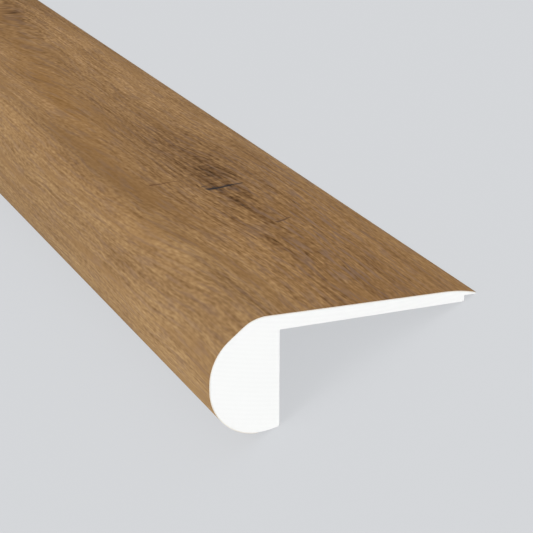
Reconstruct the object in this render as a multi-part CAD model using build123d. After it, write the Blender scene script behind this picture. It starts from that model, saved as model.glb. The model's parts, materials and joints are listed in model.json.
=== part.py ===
from build123d import *
from math import acos, atan2, degrees, hypot, radians, tan
import os

# Flush stair nosing: a white rigid-vinyl extrusion wrapped in a printed wood-grain film.
# The section is drawn as it sits on a stair, u running back from the front of the nose and v
# running up from its underside. The finished length is then laid on a level floor with its show
# face up, where it rests on the heel of the nose and the edge of the lip.
# X runs along the nosing, +Y back from the nose towards the lip, +Z up.

# Overall size in millimetres, measured over the film
LENGTH = 2387.6
WIDTH = 60.0
HEIGHT = 25.4

# Printed film, bonded from the lowest line of the nose round to the edge of the lip
FILM_THICKNESS = 0.2

# Nose: a round underneath, a crown in front, then a bevel and a soft shoulder up to the show face
NOSE_DEPTH = 15.3
BELLY_RADIUS = 10.65
HEEL_RISE = 0.7
CROWN_RADIUS = 11.8
BEVEL_WIDTH = 9.6
BEVEL_DROP = 7.8
SHOULDER_RADIUS = 8.4

# Tongue: lies on the tread, and is thicker at its root than at its rear step
TONGUE_ROOT = 3.3
TONGUE_REAR = 2.65

# Lip: laps over the flooring behind the tongue, and the show face rolls off towards its edge
LIP_REACH = 2.8
LIP_DEPTH = 1.3
LIP_EDGE = 0.15
ROLL_OFF_WIDTH = 7.2

# Rounds whose ends come this close already meet
MEETING_GAP = 1e-6


def show_side(inset):
    """Rounds and straights from the heel to the lip, this far under the film's face."""
    heel_run = NOSE_DEPTH - BELLY_RADIUS
    heel_radius = (heel_run**2 + HEEL_RISE**2) / (2 * HEEL_RISE)
    heel_angle = -degrees(acos(heel_run / (heel_radius - inset)))

    bevel_slope = degrees(atan2(BEVEL_DROP, BEVEL_WIDTH))
    bevel_normal = 90 + bevel_slope
    shoulder_run = SHOULDER_RADIUS * tan(radians(bevel_slope / 2))

    # The crown keeps its radius as long as the front and the bevel have room for it
    crown_corner = HEIGHT - BEVEL_DROP
    crown_tangent = tan(radians(90 - bevel_slope) / 2)
    bevel_room = hypot(BEVEL_WIDTH, BEVEL_DROP) - shoulder_run
    crown_run = min(CROWN_RADIUS * crown_tangent, crown_corner - BELLY_RADIUS, bevel_room)
    crown_radius = crown_run / crown_tangent

    roll_off_drop = LIP_DEPTH - LIP_EDGE - FILM_THICKNESS
    roll_off_radius = (ROLL_OFF_WIDTH**2 + roll_off_drop**2) / (2 * roll_off_drop)
    lip_angle = degrees(acos(ROLL_OFF_WIDTH / (roll_off_radius - inset)))

    heel_centre = (BELLY_RADIUS, heel_radius)
    belly_centre = (BELLY_RADIUS, BELLY_RADIUS)
    crown_centre = (crown_radius, crown_corner - crown_run)
    shoulder_centre = (BEVEL_WIDTH + shoulder_run, HEIGHT - SHOULDER_RADIUS)
    roll_off_centre = (WIDTH - ROLL_OFF_WIDTH, HEIGHT - roll_off_radius)
    rounds = [
        CenterArc(heel_centre, heel_radius - inset, heel_angle, -90 - heel_angle),
        CenterArc(belly_centre, BELLY_RADIUS - inset, -90, -90),
        CenterArc(crown_centre, crown_radius - inset, 180, bevel_normal - 180),
        CenterArc(shoulder_centre, SHOULDER_RADIUS - inset, bevel_normal, 90 - bevel_normal),
        CenterArc(roll_off_centre, roll_off_radius - inset, 90, lip_angle - 90),
    ]
    path = rounds[:1]
    for arc in rounds[1:]:
        if (arc @ 0 - path[-1] @ 1).length > MEETING_GAP:
            path.append(Line(path[-1] @ 1, arc @ 0))
        path.append(arc)
    return path


def along_the_length(section):
    """Extrude a section to the nosing's length, with X = 0 at its middle."""
    return extrude(Plane.YZ * section, amount=LENGTH / 2, both=True)


# Core: one solid extrusion with nose, tongue and lip in a single section
core_show = show_side(FILM_THICKNESS)
heel = core_show[0] @ 0
lip_top = core_show[-1] @ 1
lip_low = Vector(WIDTH, HEIGHT - LIP_DEPTH)
step_top = Vector(WIDTH - LIP_REACH, HEIGHT - LIP_DEPTH)
step_low = Vector(WIDTH - LIP_REACH, HEIGHT - TONGUE_REAR)
tongue_root = Vector(NOSE_DEPTH, HEIGHT - TONGUE_ROOT)
core_back = Polyline(lip_top, lip_low, step_top, step_low, tongue_root, heel)
core = along_the_length(make_face([*core_show, core_back]))

# Film: the band over the core, from the lowest line of the nose to the edge of the lip
film_face = show_side(0)[1:]
film_bond = core_show[1:]
film_hem = Line(film_bond[0] @ 0, film_face[0] @ 0)
film_lip_edge = Line(film_face[-1] @ 1, film_bond[-1] @ 1)
film = along_the_length(make_face([*film_face, film_lip_edge, *film_bond, film_hem]))

# Lay it down: turn it about its length until the lip or the step meets the floor beside the heel
lie_angle = min(degrees(atan2(low.Y - heel.Y, low.X - heel.X)) for low in (lip_low, step_low))
laid_core = Rot(X=-lie_angle) * core
laid_film = Rot(X=-lie_angle) * film
extent = Compound([laid_core, laid_film]).bounding_box()
to_floor = Pos(0, -extent.center().Y, -extent.min.Z)

os.makedirs("parts", exist_ok=True)
export_step(to_floor * laid_core, "parts/core_extrusion.step")
export_step(to_floor * laid_film, "parts/decor_film.step")
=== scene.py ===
import json
from math import acos, atan2, cos, pi, radians, sin, tan

import bpy
from mathutils import Matrix, Vector


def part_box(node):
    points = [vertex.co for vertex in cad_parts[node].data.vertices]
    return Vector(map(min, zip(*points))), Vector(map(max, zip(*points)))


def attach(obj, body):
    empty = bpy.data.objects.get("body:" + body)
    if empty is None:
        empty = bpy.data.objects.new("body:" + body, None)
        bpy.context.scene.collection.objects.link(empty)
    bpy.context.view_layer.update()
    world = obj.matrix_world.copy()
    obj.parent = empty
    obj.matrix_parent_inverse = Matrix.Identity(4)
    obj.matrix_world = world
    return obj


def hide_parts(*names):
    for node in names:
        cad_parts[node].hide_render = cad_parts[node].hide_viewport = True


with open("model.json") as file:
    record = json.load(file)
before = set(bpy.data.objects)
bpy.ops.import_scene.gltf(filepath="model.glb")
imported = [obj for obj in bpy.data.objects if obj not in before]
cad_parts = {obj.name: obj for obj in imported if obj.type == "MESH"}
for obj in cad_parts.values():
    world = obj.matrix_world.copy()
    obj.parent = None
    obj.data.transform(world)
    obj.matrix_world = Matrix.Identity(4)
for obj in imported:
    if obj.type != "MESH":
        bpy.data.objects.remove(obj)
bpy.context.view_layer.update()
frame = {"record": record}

# Core: a white rigid-PVC extrusion, solid through nose, tongue, rear step and lip in one section.
# It leaves the die as one long length, is pulled through cooling water and is sawn square at both ends.
# Sizes are in millimetres on a section drawn as it sits on a stair: back from the nose, up from its heel.
MM = 0.001
overall_width, overall_height = 60.0, 25.4
film_thickness = 0.2
nose_depth, belly_radius, heel_rise = 15.3, 10.65, 0.7
crown_radius, bevel_width, bevel_drop, shoulder_radius = 11.8, 9.6, 7.8, 8.4
tongue_root, tongue_rear = 3.3, 2.65
lip_reach, lip_depth, lip_edge, roll_off_width = 2.8, 1.3, 0.15, 7.2
die_rounding = 0.3
steps_per_round, steps_per_corner, stations_along = 24, 5, 25

core_low, core_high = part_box("core_extrusion")
length = core_high[0] - core_low[0]
lip_seat = next(mount for mount in frame["record"]["mounts"] if mount["name"] == "lip_seat")
up_in_section = -Vector(lip_seat["axis"])
back_in_section = Vector((0, up_in_section.z, -up_in_section.y))
lip_seat_middle = (overall_width - lip_reach / 2, overall_height - lip_depth)


def laid(back, up):
    """Turn a place on the section, in millimetres, to its place on the laid-down length, in metres."""
    from_seat = back_in_section * (back - lip_seat_middle[0]) + up_in_section * (up - lip_seat_middle[1])
    return Vector(lip_seat["pos_m"]) + from_seat * MM


def arc(centre, radius, start, end):
    """Places round a centre, in millimetres on the section, from one angle to another."""
    turns = [start + (end - start) * step / steps_per_round for step in range(steps_per_round + 1)]
    return [(centre[0] + radius * cos(turn), centre[1] + radius * sin(turn)) for turn in turns]


def show_side(inset):
    """Outline from the lowest line of the nose round to the lip, this far under the film's face."""
    bevel_slope = atan2(bevel_drop, bevel_width)
    bevel_normal = pi / 2 + bevel_slope
    shoulder_run = shoulder_radius * tan(bevel_slope / 2)
    crown_run = crown_radius * tan((pi / 2 - bevel_slope) / 2)
    roll_off_drop = lip_depth - lip_edge - film_thickness
    roll_off_radius = (roll_off_width**2 + roll_off_drop**2) / (2 * roll_off_drop)
    belly_centre = (belly_radius, belly_radius)
    crown_centre = (crown_radius, overall_height - bevel_drop - crown_run)
    shoulder_centre = (bevel_width + shoulder_run, overall_height - shoulder_radius)
    roll_off_centre = (overall_width - roll_off_width, overall_height - roll_off_radius)
    lip_angle = acos(roll_off_width / (roll_off_radius - inset))
    return [
        *arc(belly_centre, belly_radius - inset, -pi / 2, -pi),
        *arc(crown_centre, crown_radius - inset, pi, bevel_normal),
        *arc(shoulder_centre, shoulder_radius - inset, bevel_normal, pi / 2),
        *arc(roll_off_centre, roll_off_radius - inset, pi / 2, lip_angle),
    ]


def eased(before, corner, after):
    """Round a corner of the outline, as a die leaves it, between a place before it and one after it."""
    places = []
    for step in range(steps_per_corner + 1):
        share = step / steps_per_corner
        first = Vector(before).lerp(Vector(corner), share)
        second = Vector(corner).lerp(Vector(after), share)
        places.append(tuple(first.lerp(second, share)))
    return places


heel_run = nose_depth - belly_radius
heel_radius = (heel_run**2 + heel_rise**2) / (2 * heel_rise)
heel_angle = -acos(heel_run / (heel_radius - film_thickness))
heel_round = arc((belly_radius, heel_radius), heel_radius - film_thickness, heel_angle, -pi / 2)
heel_corner = heel_round[0]
under_lip = overall_height - lip_depth
under_step = overall_height - tongue_rear
under_root = overall_height - tongue_root
step_back = overall_width - lip_reach
lip_corner = (step_back, under_lip)
step_corner = (step_back, under_step)
root_corner = (nose_depth, under_root)
core_outline = [
    *eased((nose_depth, heel_corner[1] + die_rounding), heel_corner, heel_round[2]),
    *heel_round[3:-1],
    *show_side(film_thickness),
    (overall_width, under_lip),
    *eased((step_back + die_rounding, under_lip), lip_corner, (step_back, under_lip - die_rounding)),
    *eased((step_back, under_step + die_rounding), step_corner, (step_back - die_rounding, under_step)),
    *eased((nose_depth + die_rounding, under_root), root_corner, (nose_depth, under_root - die_rounding)),
]


def add_node(tree, kind, inputs=None, **settings):
    """Add one node, set its properties, and set or link its inputs."""
    node = tree.nodes.new(kind)
    for name, value in settings.items():
        setattr(node, name, value)
    for socket, value in (inputs or {}).items():
        if isinstance(value, bpy.types.NodeSocket):
            tree.links.new(value, node.inputs[socket])
        else:
            node.inputs[socket].default_value = value
    return node


# The die's rule: one outline, carried straight along X from the near end. "along" and "round" keep each
# place's distance from the near end and round the outline, in metres, for a print that follows the surface.
extrusion = bpy.data.node_groups.new("Extruded length", "GeometryNodeTree")
extrusion.interface.new_socket("Outline", in_out="INPUT", socket_type="NodeSocketGeometry")
length_socket = extrusion.interface.new_socket("Length", in_out="INPUT", socket_type="NodeSocketFloat")
stations_socket = extrusion.interface.new_socket("Stations", in_out="INPUT", socket_type="NodeSocketInt")
capped_socket = extrusion.interface.new_socket("Sawn ends", in_out="INPUT", socket_type="NodeSocketBool")
skin_socket = extrusion.interface.new_socket("Skin", in_out="INPUT", socket_type="NodeSocketMaterial")
ends_socket = extrusion.interface.new_socket("Ends", in_out="INPUT", socket_type="NodeSocketMaterial")
extrusion.interface.new_socket("Extrusion", in_out="OUTPUT", socket_type="NodeSocketGeometry")
given = extrusion.nodes.new("NodeGroupInput").outputs
half = add_node(extrusion, "ShaderNodeMath", {0: given["Length"], 1: 0.5}, operation="MULTIPLY").outputs[0]
far = add_node(extrusion, "ShaderNodeMath", {0: half, 1: -1.0}, operation="MULTIPLY").outputs[0]
near_end = add_node(extrusion, "ShaderNodeCombineXYZ", {"X": half}).outputs[0]
far_end = add_node(extrusion, "ShaderNodeCombineXYZ", {"X": far}).outputs[0]
line = add_node(extrusion, "GeometryNodeCurvePrimitiveLine", {"Start": near_end, "End": far_end}).outputs[0]
stations = add_node(
    extrusion, "GeometryNodeResampleCurve", {"Curve": line, "Count": given["Stations"]}).outputs[0]
distance = add_node(extrusion, "GeometryNodeSplineParameter").outputs["Length"]
rail = add_node(
    extrusion, "GeometryNodeStoreNamedAttribute", {"Geometry": stations, "Name": "along", "Value": distance},
    data_type="FLOAT", domain="POINT").outputs[0]
outline = add_node(
    extrusion, "GeometryNodeStoreNamedAttribute",
    {"Geometry": given["Outline"], "Name": "round", "Value": distance},
    data_type="FLOAT", domain="POINT").outputs[0]
swept = add_node(
    extrusion, "GeometryNodeCurveToMesh",
    {"Curve": rail, "Profile Curve": outline, "Fill Caps": given["Sawn ends"]}).outputs[0]
normal = add_node(extrusion, "GeometryNodeInputNormal").outputs[0]
normal_x = add_node(extrusion, "ShaderNodeSeparateXYZ", {0: normal}).outputs["X"]
steepness = add_node(extrusion, "ShaderNodeMath", {0: normal_x}, operation="ABSOLUTE").outputs[0]
sawn = add_node(extrusion, "FunctionNodeCompare", {0: steepness, 1: 0.5}, operation="GREATER_THAN").outputs[0]
realized = add_node(extrusion, "GeometryNodeRealizeInstances", {"Geometry": swept}).outputs[0]
skinned = add_node(
    extrusion, "GeometryNodeSetMaterial", {"Geometry": realized, "Material": given["Skin"]}).outputs[0]
ended = add_node(
    extrusion, "GeometryNodeSetMaterial",
    {"Geometry": skinned, "Selection": sawn, "Material": given["Ends"]}).outputs[0]
add_node(extrusion, "NodeGroupOutput", {"Extrusion": ended})


def extrude(name, outline_points, closed, skin, ends):
    """Run an outline, in millimetres on the section, through the die and return it as a plain mesh."""
    curve = bpy.data.curves.new(name + "_outline", "CURVE")
    curve.dimensions = "3D"
    spline = curve.splines.new("POLY")
    spline.points.add(len(outline_points) - 1)
    spline.use_cyclic_u = closed
    for point, (back, up) in zip(spline.points, outline_points):
        place = laid(back, up)
        point.co = (place.y, -place.z, 0, 1)
    die = bpy.data.objects.new(name + "_die", curve)
    bpy.context.collection.objects.link(die)
    sweep = die.modifiers.new("Extruded length", "NODES")
    sweep.node_group = extrusion
    sweep[length_socket.identifier] = length
    sweep[stations_socket.identifier] = stations_along
    sweep[capped_socket.identifier] = closed
    sweep[skin_socket.identifier] = skin
    sweep[ends_socket.identifier] = ends
    depsgraph = bpy.context.evaluated_depsgraph_get()
    mesh = bpy.data.meshes.new_from_object(
        die.evaluated_get(depsgraph), preserve_all_data_layers=True, depsgraph=depsgraph)
    bpy.data.objects.remove(die)
    piece = bpy.data.objects.new(name, mesh)
    bpy.context.collection.objects.link(piece)
    return piece


def srgb(code):
    """Turn an sRGB hex colour to a linear one."""
    channels = [int(code[place:place + 2], 16) / 255 for place in (1, 3, 5)]
    return (*[c / 12.92 if c <= 0.04045 else ((c + 0.055) / 1.055) ** 2.4 for c in channels], 1.0)


def new_material(name):
    material = bpy.data.materials.new(name)
    material.use_nodes = True
    return material, material.node_tree, material.node_tree.nodes["Principled BSDF"]


# Rigid PVC with a lot of white pigment, as the die leaves it: satin, with faint draw lines along the length.
# Draw lines are a few hundredths of a millimetre wide, and are drawn a millimetre wide so that they show.
white_skin, tree, shader = new_material("Extruded rigid PVC")
draw_line_length, draw_line_width = 400, 1.0
spot = add_node(tree, "ShaderNodeTexCoord").outputs["Object"]
line_scale = [1 / (size * MM) for size in (draw_line_length, draw_line_width, draw_line_width)]
drawn = add_node(tree, "ShaderNodeMapping", {"Vector": spot, "Scale": line_scale}).outputs[0]
draw_lines = add_node(
    tree, "ShaderNodeTexNoise", {"Vector": drawn, "Scale": 1.0, "Detail": 2.0}).outputs["Fac"]
tint = add_node(
    tree, "ShaderNodeMix", {"Factor": draw_lines, "A": srgb("#E8E8E5"), "B": srgb("#F2F2F0")},
    data_type="RGBA")
satin = add_node(
    tree, "ShaderNodeMapRange", {"Value": draw_lines, "To Min": 0.34, "To Max": 0.5}).outputs[0]
relief = add_node(
    tree, "ShaderNodeBump", {"Strength": 0.4, "Distance": 0.03 * MM, "Height": draw_lines}).outputs[0]
tree.links.new(tint.outputs[2], shader.inputs["Base Color"])
tree.links.new(satin, shader.inputs["Roughness"])
tree.links.new(relief, shader.inputs["Normal"])
shader.inputs["IOR"].default_value = 1.54

# The same PVC where a saw went through it: matt and a little whiter, with faint arcs from the blade's teeth.
# Tooth marks a few tenths of a millimetre apart are drawn a millimetre apart so that they show.
white_cut, tree, shader = new_material("Saw-cut rigid PVC")
blade_radius, blade_depth, tooth_mark_spacing, uneven_size = 127, 20, 1.0, 4
blade_centre = laid(overall_width / 2, overall_height + blade_radius - blade_depth)
spot = add_node(tree, "ShaderNodeTexCoord").outputs["Object"]
from_blade = add_node(
    tree, "ShaderNodeVectorMath", {0: spot, 1: (0, blade_centre.y, blade_centre.z)},
    operation="SUBTRACT").outputs[0]
across_cut = add_node(
    tree, "ShaderNodeVectorMath", {0: from_blade, 1: (0, 1, 1)}, operation="MULTIPLY").outputs[0]
reach = add_node(tree, "ShaderNodeVectorMath", {0: across_cut}, operation="LENGTH").outputs["Value"]
turns = add_node(
    tree, "ShaderNodeMath", {0: reach, 1: 2 * pi / (tooth_mark_spacing * MM)},
    operation="MULTIPLY").outputs[0]
wave = add_node(tree, "ShaderNodeMath", {0: turns}, operation="SINE").outputs[0]
uneven = add_node(
    tree, "ShaderNodeTexNoise",
    {"Vector": spot, "Scale": 1 / (uneven_size * MM), "Detail": 2.0}).outputs["Fac"]
tooth_marks = add_node(tree, "ShaderNodeMath", {0: wave, 1: uneven}, operation="MULTIPLY").outputs[0]
mark_share = add_node(
    tree, "ShaderNodeMapRange", {"Value": tooth_marks, "From Min": -0.7, "From Max": 0.7}).outputs[0]
tint = add_node(
    tree, "ShaderNodeMix", {"Factor": mark_share, "A": srgb("#F3F3F1"), "B": srgb("#F5F5F3")},
    data_type="RGBA")
matt = add_node(
    tree, "ShaderNodeMapRange", {"Value": mark_share, "To Min": 0.55, "To Max": 0.7}).outputs[0]
relief = add_node(
    tree, "ShaderNodeBump", {"Strength": 0.15, "Distance": 0.02 * MM, "Height": mark_share}).outputs[0]
tree.links.new(tint.outputs[2], shader.inputs["Base Color"])
tree.links.new(matt, shader.inputs["Roughness"])
tree.links.new(relief, shader.inputs["Normal"])
shader.inputs["IOR"].default_value = 1.54

core = extrude("core", core_outline, True, white_skin, white_cut)
sharp_corner = radians(30)
core.data.set_sharp_from_angle(angle=sharp_corner)
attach(core, "root")
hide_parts("core_extrusion")

# Film: an oak-look print on a thin PVC film, embossed with pores and laid on warm by a wrapping line.
# It is bonded from the lowest line of the nose, round the show face, to the edge of the lip.
# The print is a mid-brown oak with grain lines about a millimetre apart, and it is matt at every angle.
print_face, tree, shader = new_material("Printed oak film")

# Places on the print in millimetres: along from the near end, and round from the lowest line of the nose
along = add_node(tree, "ShaderNodeAttribute", attribute_name="along").outputs["Fac"]
round_the_nose = add_node(tree, "ShaderNodeAttribute", attribute_name="round").outputs["Fac"]
metres = add_node(tree, "ShaderNodeCombineXYZ", {"X": along, "Y": round_the_nose}).outputs[0]
place = add_node(tree, "ShaderNodeVectorMath", {0: metres, "Scale": 1 / MM}, operation="SCALE").outputs[0]
apart = add_node(tree, "ShaderNodeSeparateXYZ", {0: place}).outputs

# A knot leans along the grain and pushes it aside, has a dark heart, and the wood round it is browner
knot_lean, knot_fade, zone_reach, grain_push = -0.1, 1.5, 6, 0.5
knot = bpy.data.node_groups.new("Knot", "ShaderNodeTree")
for name in ("Place", "Centre", "Half size"):
    knot.interface.new_socket(name, in_out="INPUT", socket_type="NodeSocketVector")
for name in ("Push", "Shade", "Zone"):
    knot.interface.new_socket(name, in_out="OUTPUT", socket_type="NodeSocketFloat")
given = knot.nodes.new("NodeGroupInput").outputs
offset = add_node(
    knot, "ShaderNodeVectorMath", {0: given["Place"], 1: given["Centre"]}, operation="SUBTRACT").outputs[0]
offset = add_node(knot, "ShaderNodeSeparateXYZ", {0: offset}).outputs
across = add_node(
    knot, "ShaderNodeMath", {0: offset["X"], 1: knot_lean, 2: offset["Y"]},
    operation="MULTIPLY_ADD").outputs[0]
leaning = add_node(knot, "ShaderNodeCombineXYZ", {"X": offset["X"], "Y": across}).outputs[0]
ratio = add_node(
    knot, "ShaderNodeVectorMath", {0: leaning, 1: given["Half size"]}, operation="DIVIDE").outputs[0]
spread = add_node(
    knot, "ShaderNodeVectorMath", {0: ratio, 1: ratio}, operation="DOT_PRODUCT").outputs["Value"]
spread_and_one = add_node(knot, "ShaderNodeMath", {0: spread, 1: 1.0}, operation="ADD").outputs[0]
near = add_node(knot, "ShaderNodeMath", {0: 1.0, 1: spread_and_one}, operation="DIVIDE").outputs[0]
faded = add_node(knot, "ShaderNodeMath", {0: near, 1: knot_fade}, operation="POWER").outputs[0]
wide_spread = add_node(
    knot, "ShaderNodeMath", {0: spread, 1: 1 / zone_reach, 2: 1.0}, operation="MULTIPLY_ADD").outputs[0]
zone = add_node(knot, "ShaderNodeMath", {0: 1.0, 1: wide_spread}, operation="DIVIDE").outputs[0]
moved = add_node(knot, "ShaderNodeMath", {0: across, 1: grain_push}, operation="MULTIPLY").outputs[0]
push = add_node(knot, "ShaderNodeMath", {0: moved, 1: zone}, operation="MULTIPLY").outputs[0]
add_node(knot, "NodeGroupOutput", {"Push": push, "Shade": faded, "Zone": zone})

grain = apart["Y"]
shade = 0.0
browner = 0.0
for centre, half_size in (
    ((95, 63, 0), (35, 6, 1)),
    ((318, 71, 0), (26, 4, 1)),
    ((768, 22, 0), (24, 5, 1)),
    ((1310, 52, 0), (34, 8, 1)),
    ((1930, 70, 0), (26, 6, 1)),
):
    one = add_node(
        tree, "ShaderNodeGroup", {"Place": place, "Centre": centre, "Half size": half_size}, node_tree=knot)
    grain = add_node(
        tree, "ShaderNodeMath", {0: grain, 1: one.outputs["Push"]}, operation="SUBTRACT").outputs[0]
    shade = add_node(
        tree, "ShaderNodeMath", {0: shade, 1: one.outputs["Shade"]}, operation="ADD").outputs[0]
    browner = add_node(
        tree, "ShaderNodeMath", {0: browner, 1: one.outputs["Zone"]}, operation="ADD").outputs[0]

# A flame, where the saw ran along a growth ring, is a long smooth golden tongue that the grain bends round
flames = 0.0
for centre, half_size in (
    ((195, 51, 0), (105, 5.5, 1)),
    ((520, 48, 0), (70, 4, 1)),
    ((1010, 66, 0), (80, 4, 1)),
    ((1620, 38, 0), (70, 5, 1)),
    ((2190, 44, 0), (60, 4, 1)),
):
    one = add_node(
        tree, "ShaderNodeGroup", {"Place": place, "Centre": centre, "Half size": half_size}, node_tree=knot)
    grain = add_node(
        tree, "ShaderNodeMath", {0: grain, 1: one.outputs["Push"]}, operation="SUBTRACT").outputs[0]
    flames = add_node(
        tree, "ShaderNodeMath", {0: flames, 1: one.outputs["Shade"]}, operation="ADD").outputs[0]

# A mineral streak, where the oak took up minerals from the ground, is a long patch with greyer grain lines
streaks = 0.0
for centre, half_size in (
    ((40, 67, 0), (60, 11, 1)),
    ((95, 82, 0), (40, 5, 1)),
    ((690, 58, 0), (70, 9, 1)),
    ((1180, 74, 0), (60, 8, 1)),
    ((1800, 60, 0), (70, 10, 1)),
    ((2270, 66, 0), (60, 9, 1)),
):
    one = add_node(
        tree, "ShaderNodeGroup", {"Place": place, "Centre": centre, "Half size": half_size}, node_tree=knot)
    streaks = add_node(
        tree, "ShaderNodeMath", {0: streaks, 1: one.outputs["Shade"]}, operation="ADD").outputs[0]

# Grain lines wander a few millimetres over a hand's length, and climb slowly towards the lip
for long, wide, swing in ((120, 40, 5.0), (30, 10, 1.2)):
    bend_scale = add_node(
        tree, "ShaderNodeVectorMath", {0: place, 1: (1 / long, 1 / wide, 0)},
        operation="MULTIPLY").outputs[0]
    bend = add_node(
        tree, "ShaderNodeTexNoise", {"Vector": bend_scale, "Scale": 1.0, "Detail": 1.0},
        noise_dimensions="2D").outputs["Fac"]
    grain = add_node(
        tree, "ShaderNodeMath", {0: bend, 1: swing, 2: grain}, operation="MULTIPLY_ADD").outputs[0]
climb = 0.01
grain = add_node(
    tree, "ShaderNodeMath", {0: apart["X"], 1: climb, 2: grain}, operation="MULTIPLY_ADD").outputs[0]
fibre = add_node(tree, "ShaderNodeCombineXYZ", {"X": apart["X"], "Y": grain}).outputs[0]

# Each layer of the figure is noise drawn out along the fibre: length and width in millimetres, detail, start.
# Oak's pores are about 0.2 mm wide, and are drawn about twice as wide so that they show.
figure = {}
for layer, (long, wide, detail, start) in {
    "boards": (300, 26, 0.0, (1.6, 1.3)),
    "bands": (90, 7, 1.0, (0.0, 0.0)),
    "islands": (60, 4, 1.0, (0.6, 0.6)),
    "lines": (70, 0.75, 3.0, (0.0, 0.0)),
    "latewood": (55, 1.1, 1.0, (0.3, 0.7)),
    "dashes": (10, 0.6, 1.0, (0.0, 0.0)),
    "grit": (2.2, 0.4, 0.0, (0.0, 0.0)),
    "pores": (5, 0.45, 0.0, (0.5, 0.5)),
    "mottle": (14, 1.9, 2.0, (0.4, 0.4)),
    "ripples": (1.4, 5.0, 0.0, (0.0, 0.0)),
    "tint": (12, 0.8, 1.0, (0.0, 0.0)),
}.items():
    drawn_out = add_node(
        tree, "ShaderNodeMapping",
        {"Vector": fibre, "Location": (*start, 0), "Scale": (1 / long, 1 / wide, 0)}).outputs[0]
    figure[layer] = add_node(
        tree, "ShaderNodeTexNoise", {"Vector": drawn_out, "Scale": 1.0, "Detail": detail},
        noise_dimensions="2D").outputs["Fac"]

# Smooth golden islands lie between the grain, mostly in flames and clear of knots and streaks
clear = figure["islands"]
for mark, weight in ((shade, -0.3), (flames, 0.06), (streaks, -0.15)):
    clear = add_node(
        tree, "ShaderNodeMath", {0: mark, 1: weight, 2: clear}, operation="MULTIPLY_ADD").outputs[0]
islands = add_node(
    tree, "ShaderNodeMapRange", {"Value": clear, "From Min": 0.52, "From Max": 0.7},
    interpolation_type="SMOOTHSTEP").outputs[0]

# The grain is faint on islands and strong round knots, and so are its pores and its thin dark latewood lines
grainy = 0.65
for mark, weight in ((islands, -0.45), (browner, 0.6)):
    grainy = add_node(
        tree, "ShaderNodeMath", {0: mark, 1: weight, 2: grainy}, operation="MULTIPLY_ADD").outputs[0]
peaks = {}
for layer, foot, top in (("pores", 0.6, 0.8), ("latewood", 0.56, 0.7)):
    peak = add_node(
        tree, "ShaderNodeMapRange", {"Value": figure[layer], "From Min": foot, "From Max": top},
        interpolation_type="SMOOTHSTEP").outputs[0]
    peaks[layer] = add_node(tree, "ShaderNodeMath", {0: peak, 1: grainy}, operation="MULTIPLY").outputs[0]

# Sapwood, the younger wood under the bark, and a painted sheen where the nose faces the light give a paler
# and greyer strip round the nose
sapwood_and_sheen_start, sapwood_and_sheen_full = 52.0, 30.0
sapwood_and_sheen = add_node(
    tree, "ShaderNodeMapRange", {"Value": grain, "From Min": sapwood_and_sheen_start, "From Max": sapwood_and_sheen_full},
    interpolation_type="SMOOTHSTEP").outputs[0]

# Tone of the print, from 0 for the darkest brown to 1 for the palest tan, starting from its middle
tone = 0.735
# The strip round the nose is made paler here, partly as sapwood and partly as painted sheen where the nose
# faces the light
for mark, weight in ((shade, -0.19), (browner, -0.05), (islands, -0.05), (sapwood_and_sheen, 0.035)):
    tone = add_node(
        tree, "ShaderNodeMath", {0: mark, 1: weight, 2: tone}, operation="MULTIPLY_ADD").outputs[0]
for layer, weight, held_by in (
    ("boards", 0.36, 1.0),
    ("bands", 0.32, grainy),
    ("lines", 0.4, grainy),
    ("dashes", 0.36, grainy),
    ("grit", 0.4, grainy),
    ("mottle", 0.8, shade),
    ("ripples", 0.3, shade),
):
    centred = add_node(tree, "ShaderNodeMath", {0: figure[layer], 1: 0.5}, operation="SUBTRACT").outputs[0]
    held = add_node(tree, "ShaderNodeMath", {0: centred, 1: held_by}, operation="MULTIPLY").outputs[0]
    tone = add_node(
        tree, "ShaderNodeMath", {0: held, 1: weight, 2: tone}, operation="MULTIPLY_ADD").outputs[0]
for mark, weight in ((peaks["pores"], -0.12), (peaks["latewood"], -0.13)):
    tone = add_node(
        tree, "ShaderNodeMath", {0: mark, 1: weight, 2: tone}, operation="MULTIPLY_ADD").outputs[0]

# Browns from the darkest tone to the palest, then gold in islands and flames, and mauve dashes in the grain
tones = (0.0, 0.35, 0.6, 0.85, 1.0)
wood = {}
# The second set of browns, paler and greyer, is for the strip round the nose: sapwood and painted sheen
# together
for kind, codes in {
    "heartwood": ("#3F2C18", "#735436", "#8D6B46", "#A78359", "#BB9469"),
    "sapwood_and_sheen": ("#3F2E1B", "#73573A", "#8D6F4D", "#A78860", "#BB9872"),
}.items():
    ramp = add_node(tree, "ShaderNodeValToRGB", {"Fac": tone})
    for number, (where, code) in enumerate(zip(tones, codes)):
        stop = ramp.color_ramp.elements[number] if number < 2 else ramp.color_ramp.elements.new(where)
        stop.position = where
        stop.color = srgb(code)
    wood[kind] = ramp.outputs["Color"]
# Round the nose the colour turns to the paler, greyer browns, which are partly sapwood and partly painted
# sheen
colour = add_node(
    tree, "ShaderNodeMix", {"Factor": sapwood_and_sheen, "A": wood["heartwood"], "B": wood["sapwood_and_sheen"]},
    data_type="RGBA").outputs[2]
golden_share = 0.0
for mark, weight in ((islands, 0.08), (flames, 0.45)):
    golden_share = add_node(
        tree, "ShaderNodeMath", {0: mark, 1: weight, 2: golden_share}, operation="MULTIPLY_ADD").outputs[0]
mauve_share = add_node(
    tree, "ShaderNodeMapRange",
    {"Value": figure["tint"], "From Min": 0.5, "From Max": 0.7, "To Max": 0.3}).outputs[0]
streak_strength = 1.3
mineral = add_node(
    tree, "ShaderNodeMath", {0: streaks, 1: streak_strength, 2: 1.0}, operation="MULTIPLY_ADD").outputs[0]
mauve_share = add_node(tree, "ShaderNodeMath", {0: mauve_share, 1: mineral}, operation="MULTIPLY").outputs[0]
for share, code in ((golden_share, "#8F6633"), (mauve_share, "#846C5C")):
    colour = add_node(
        tree, "ShaderNodeMix", {"Factor": share, "A": colour, "B": srgb(code)}, data_type="RGBA").outputs[2]

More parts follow.
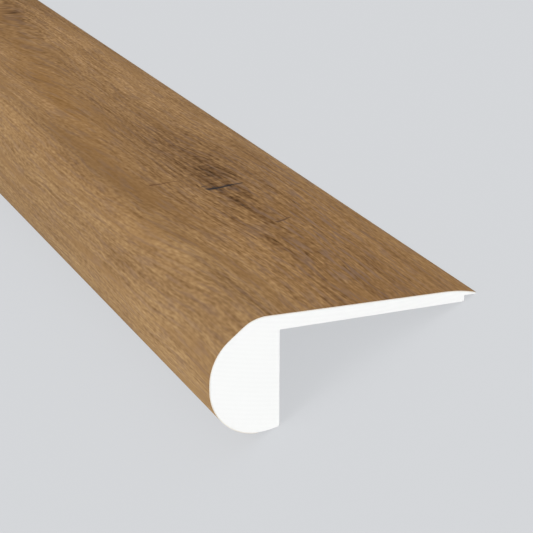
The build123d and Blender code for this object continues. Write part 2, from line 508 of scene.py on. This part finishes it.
# Dark checks, the short cracks that open in a knot as it dries: start, run and half width in millimetres
check_taper, ragged_scale, ragged_swing = -0.7, 0.3, 1.2
check = bpy.data.node_groups.new("Check", "ShaderNodeTree")
for name in ("Place", "Start", "Run"):
    check.interface.new_socket(name, in_out="INPUT", socket_type="NodeSocketVector")
check.interface.new_socket("Half width", in_out="INPUT", socket_type="NodeSocketFloat")
check.interface.new_socket("Mark", in_out="OUTPUT", socket_type="NodeSocketFloat")
given = check.nodes.new("NodeGroupInput").outputs
from_start = add_node(
    check, "ShaderNodeVectorMath", {0: given["Place"], 1: given["Start"]}, operation="SUBTRACT").outputs[0]
ahead = add_node(
    check, "ShaderNodeVectorMath", {0: from_start, 1: given["Run"]},
    operation="DOT_PRODUCT").outputs["Value"]
whole = add_node(
    check, "ShaderNodeVectorMath", {0: given["Run"], 1: given["Run"]},
    operation="DOT_PRODUCT").outputs["Value"]
share = add_node(
    check, "ShaderNodeMath", {0: ahead, 1: whole}, operation="DIVIDE", use_clamp=True).outputs[0]
nearest = add_node(
    check, "ShaderNodeVectorMath", {0: given["Run"], "Scale": share}, operation="SCALE").outputs[0]
aside = add_node(
    check, "ShaderNodeVectorMath", {0: from_start, 1: nearest}, operation="DISTANCE").outputs["Value"]
taper = add_node(
    check, "ShaderNodeMath", {0: share, 1: check_taper, 2: 1.0}, operation="MULTIPLY_ADD").outputs[0]
edge = add_node(
    check, "ShaderNodeMath", {0: given["Half width"], 1: taper}, operation="MULTIPLY").outputs[0]
mark = add_node(
    check, "ShaderNodeMapRange", {"Value": aside, "From Min": edge, "From Max": 0.0},
    interpolation_type="SMOOTHSTEP").outputs[0]
add_node(check, "NodeGroupOutput", {"Mark": mark})

ragged = add_node(
    tree, "ShaderNodeTexNoise", {"Vector": place, "Scale": ragged_scale, "Detail": 1.0},
    noise_dimensions="2D").outputs["Color"]
ragged_place = add_node(
    tree, "ShaderNodeVectorMath", {0: ragged, 1: (ragged_swing, ragged_swing, 0), 2: place},
    operation="MULTIPLY_ADD").outputs[0]
for start, run, half_width, code in (
    ((89.4, 59.0, 0), (2.6, 9.8, 0), 1.4, "#2C2E32"),
    ((92.3, 58.2, 0), (-0.1, 1.4, 0), 0.7, "#3D3A38"),
    ((98.0, 46.9, 0), (1.1, 7.0, 0), 0.8, "#6B4A33"),
    ((59.0, 64.6, 0), (2.2, 4.2, 0), 1.1, "#634A39"),
    ((1302.0, 49.0, 0), (4.0, 8.0, 0), 1.2, "#33353A"),
):
    one = add_node(
        tree, "ShaderNodeGroup",
        {"Place": ragged_place, "Start": start, "Run": run, "Half width": half_width}, node_tree=check)
    colour = add_node(
        tree, "ShaderNodeMix", {"Factor": one.outputs["Mark"], "A": colour, "B": srgb(code)},
        data_type="RGBA").outputs[2]

# The embossing roller presses the pores and grain lines a few hundredths of a millimetre into the film
pore_depth = -0.6
sunk = add_node(
    tree, "ShaderNodeMath", {0: peaks["pores"], 1: pore_depth, 2: figure["lines"]},
    operation="MULTIPLY_ADD").outputs[0]
relief = add_node(
    tree, "ShaderNodeBump", {"Strength": 0.3, "Distance": 0.05 * MM, "Height": sunk}).outputs[0]
matt = add_node(
    tree, "ShaderNodeMapRange",
    {"Value": figure["lines"], "From Min": 0.3, "From Max": 0.7, "To Min": 0.9, "To Max": 0.75}).outputs[0]
tree.links.new(colour, shader.inputs["Base Color"])
tree.links.new(matt, shader.inputs["Roughness"])
tree.links.new(relief, shader.inputs["Normal"])
shader.inputs["Specular IOR Level"].default_value = 0.02

# White PVC base of the film, seen only as a hairline at its cut edges: pale, and a little yellowed by glue
film_base, tree, shader = new_material("White PVC base film")
glue_spot_size = 3
spot = add_node(tree, "ShaderNodeTexCoord").outputs["Object"]
glue = add_node(
    tree, "ShaderNodeTexNoise",
    {"Vector": spot, "Scale": 1 / (glue_spot_size * MM), "Detail": 1.0}).outputs["Fac"]
tint = add_node(
    tree, "ShaderNodeMix", {"Factor": glue, "A": srgb("#E4DCCD"), "B": srgb("#EFEBE3")}, data_type="RGBA")
tree.links.new(tint.outputs[2], shader.inputs["Base Color"])
shader.inputs["Roughness"].default_value = 0.5
shader.inputs["IOR"].default_value = 1.54

film = extrude("film", show_side(0), False, print_face, film_base)
film.data.materials.clear()
film.data.materials.append(print_face)
film.data.materials.append(film_base)
wall = film.modifiers.new("Film thickness", "SOLIDIFY")
wall.thickness = film_thickness * MM
wall.offset = -1
wall.use_even_offset = True
wall.material_offset = 1
wall.material_offset_rim = 1
depsgraph = bpy.context.evaluated_depsgraph_get()
film.data = bpy.data.meshes.new_from_object(
    film.evaluated_get(depsgraph), preserve_all_data_layers=True, depsgraph=depsgraph)
film.modifiers.clear()

# The map that the print is baked through: the long face lies in four rows, so that its grain stays sharp.
# The hidden base and the cut edges share a narrow strip over them, leaning so that the cut ends have a width.
row_count, rows_height, gap = 4, 0.96, 0.004
strip_foot, strip_height, strip_lean = 0.975, 0.02, 0.1
film_low, film_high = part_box("decor_film")
from_near_end = film.data.attributes["along"].data
from_nose = film.data.attributes["round"].data
film_width = max(place.value for place in from_nose)
bake_map = film.data.uv_layers.new(name="OFBake").data
for face in film.data.polygons:
    row = int((core_high[0] - face.center.x) / length * row_count)
    for corner in face.loop_indices:
        point = film.data.loops[corner].vertex_index
        if face.material_index == 0:
            across = from_near_end[point].value / length * row_count - row
            up_in_row = from_nose[point].value / film_width * (1 - gap * row_count)
            up = (row + up_in_row) / row_count * rows_height
        else:
            x, y, z = (
                (value - low) / (high - low)
                for value, low, high in zip(film.data.vertices[point].co, film_low, film_high))
            across = (1 - strip_lean) * x + strip_lean * z
            up = strip_foot + strip_height * y
        bake_map[corner].uv = (gap + (1 - 2 * gap) * across, gap + (1 - 2 * gap) * up)
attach(film, "root")
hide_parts("decor_film")

# Camera: as the photograph was taken, beyond the near end, in front of the nose and above the show face.
# Its place and aim are in millimetres on the nosing's own axes, from the near end and the show face.
camera_beyond_end, camera_back, camera_over_face = 358.7, -132.1, 141.1
aim_inside_end, aim_back = 29.1, 24.1
camera_roll = radians(0.15)
lens_mm = 137.4


def on_nosing(beyond_end, back, over_face):
    """Turn a place by the nosing's own axes, in millimetres, to its place in the frame, in metres."""
    place = laid(back, overall_height + over_face)
    place.x = core_high[0] + beyond_end * MM
    return place


camera_place = on_nosing(camera_beyond_end, camera_back, camera_over_face)
aim = on_nosing(-aim_inside_end, aim_back, 0)
camera_data = bpy.data.cameras.new("photograph")
camera_data.lens = lens_mm
camera_data.sensor_width = 36
camera_data.clip_start = 0.02
camera = bpy.data.objects.new("photograph", camera_data)
bpy.context.collection.objects.link(camera)
away = (camera_place - aim).normalized()
right = up_in_section.cross(away).normalized()
facing = Matrix((right, away.cross(right), away)).transposed() @ Matrix.Rotation(camera_roll, 3, "Z")
camera.matrix_world = Matrix.Translation(camera_place) @ facing.to_4x4()
bpy.context.scene.camera = camera

# Floor: a plain sheet of pale grey paper that the length lies on, so that its white end stands out.
# Most of what the camera sees is the sheet's own colour, and the rest is lit, so that shadows stay faint.
floor_reach, own_colour_share = 40.0, 0.85
floor_mesh = bpy.data.meshes.new("floor")
corners = [(x * floor_reach, y * floor_reach, 0) for x, y in ((-1, -1), (1, -1), (1, 1), (-1, 1))]
floor_mesh.from_pydata(corners, [], [(0, 1, 2, 3)])
floor = bpy.data.objects.new("floor", floor_mesh)
bpy.context.collection.objects.link(floor)
sheet = bpy.data.materials.new("Matt paper sheet")
sheet.use_nodes = True
tree = sheet.node_tree
tree.nodes.clear()
sheet_tint = srgb("#D3D5D8")
lit = add_node(tree, "ShaderNodeBsdfDiffuse", {"Color": sheet_tint}).outputs[0]
plain = add_node(tree, "ShaderNodeEmission", {"Color": sheet_tint, "Strength": 1.0}).outputs[0]
seen_by = add_node(tree, "ShaderNodeLightPath").outputs
seen = seen_by["Is Camera Ray"]
for kind in ("Is Glossy Ray", "Is Transmission Ray"):
    seen = add_node(tree, "ShaderNodeMath", {0: seen, 1: seen_by[kind]}, operation="MAXIMUM").outputs[0]
seen_share = add_node(tree, "ShaderNodeMath", {0: seen, 1: own_colour_share}, operation="MULTIPLY").outputs[0]
mixed = add_node(tree, "ShaderNodeMixShader", {0: seen_share, 1: lit, 2: plain}).outputs[0]
add_node(tree, "ShaderNodeOutputMaterial", {"Surface": mixed})
floor_mesh.materials.append(sheet)

# Light: a pale surround, a large soft box high over the nose, one beyond the near end and a weaker one
# beyond the far end, at a level where the print renders about as its colours are written.
world = bpy.data.worlds.new("Studio")
world.use_nodes = True
world.node_tree.nodes["Background"].inputs["Color"].default_value = (1, 1, 1, 1)
world.node_tree.nodes["Background"].inputs["Strength"].default_value = 0.6
bpy.context.scene.world = world
box_distance, box_size = 7.0, 4.0
for name, direction, power in (
    ("Over the nose", (0.35, -0.6, 0.75), 250),
    ("Beyond the near end", (0.95, -0.1, 0.3), 122),
    ("Beyond the far end", (-0.9, 0.3, 0.35), 70),
):
    lamp = bpy.data.lights.new(name, "AREA")
    lamp.size = box_size
    lamp.energy = power
    holder = bpy.data.objects.new(name, lamp)
    bpy.context.collection.objects.link(holder)
    towards = Vector(direction).normalized()
    holder.location = towards * box_distance
    holder.rotation_euler = (-towards).to_track_quat("-Z", "Y").to_euler()

bpy.context.scene.view_settings.view_transform = "Standard"
